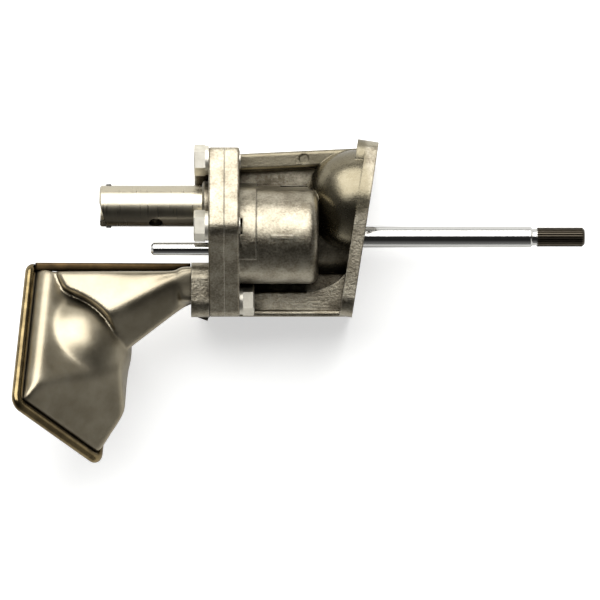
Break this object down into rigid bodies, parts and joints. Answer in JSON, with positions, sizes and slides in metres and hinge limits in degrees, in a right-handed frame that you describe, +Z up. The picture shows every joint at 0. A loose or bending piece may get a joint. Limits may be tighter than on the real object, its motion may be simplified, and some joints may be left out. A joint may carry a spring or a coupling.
{
  "type": "engine oil pump",
  "caption": "In-sump gear oil pump with an inclined mounting flange, long splined drive shaft, relief valve tube and sheet steel pickup hood.",
  "frame": {"origin": "where the drive shaft's axis crosses the inclined mounting face", "axes": "+X along the drive shaft towards its splined end, +Z up from the bench that the pump lies on"},
  "size_m": [0.2729, 0.1543, 0.09],
  "materials": {
    "cast_aluminium": "as cast, bead blasted",
    "pressed_steel": "pressed sheet steel, oiled",
    "ground_steel": "ground and polished",
    "gear_steel": "cut and hardened",
    "zinc_bolt": "zinc plated",
    "bearing_bronze": "sintered bronze",
    "spring_steel": "drawn wire",
    "wire_gauze": "woven steel wire"
  },
  "bodies": {
    "housing": {"pump_body": "cast_aluminium", "pump_cover": "cast_aluminium", "floor_bush": "bearing_bronze", "face_bush": "bearing_bronze", "cover_bush": "bearing_bronze", "idler_pin": "ground_steel", "cover_bolts": "zinc_bolt", "bolt_washers": "zinc_bolt", "cover_dowels": "ground_steel", "locating_rod": "ground_steel", "relief_tube": "ground_steel", "spring_seat": "ground_steel", "retaining_pin": "spring_steel", "relief_spring": "spring_steel", "pickup_hood": "pressed_steel", "strainer_rim": "pressed_steel", "strainer_gauze": "wire_gauze"},
    "drive": {"drive_shaft": "ground_steel", "drive_gear": "gear_steel", "gear_key": "ground_steel"},
    "idler": {"idler_gear": "gear_steel", "idler_bush": "bearing_bronze"},
    "plunger": {"relief_plunger": "ground_steel"}
  },
  "joints": [
    {"name": "drive_spin", "type": "hinge", "parent": "housing", "child": "drive", "pos_m": [0, 0, 0], "axis": [1, 0, 0], "continuous": true},
    {"name": "idler_spin", "type": "hinge", "parent": "housing", "child": "idler", "pos_m": [0, 0, 0.0275], "axis": [1, 0, 0], "continuous": true},
    {"name": "relief_slide", "type": "slide", "parent": "housing", "child": "plunger", "axis": [-1, 0, 0], "range_m": [0, 0.007], "stiffness_N_per_m": 2000, "springref_m": -0.012, "deforming": ["relief_spring"]}
  ],
  "couplings": [
    {"joint": "idler_spin", "follows": "drive_spin", "ratio": -1}
  ]
}
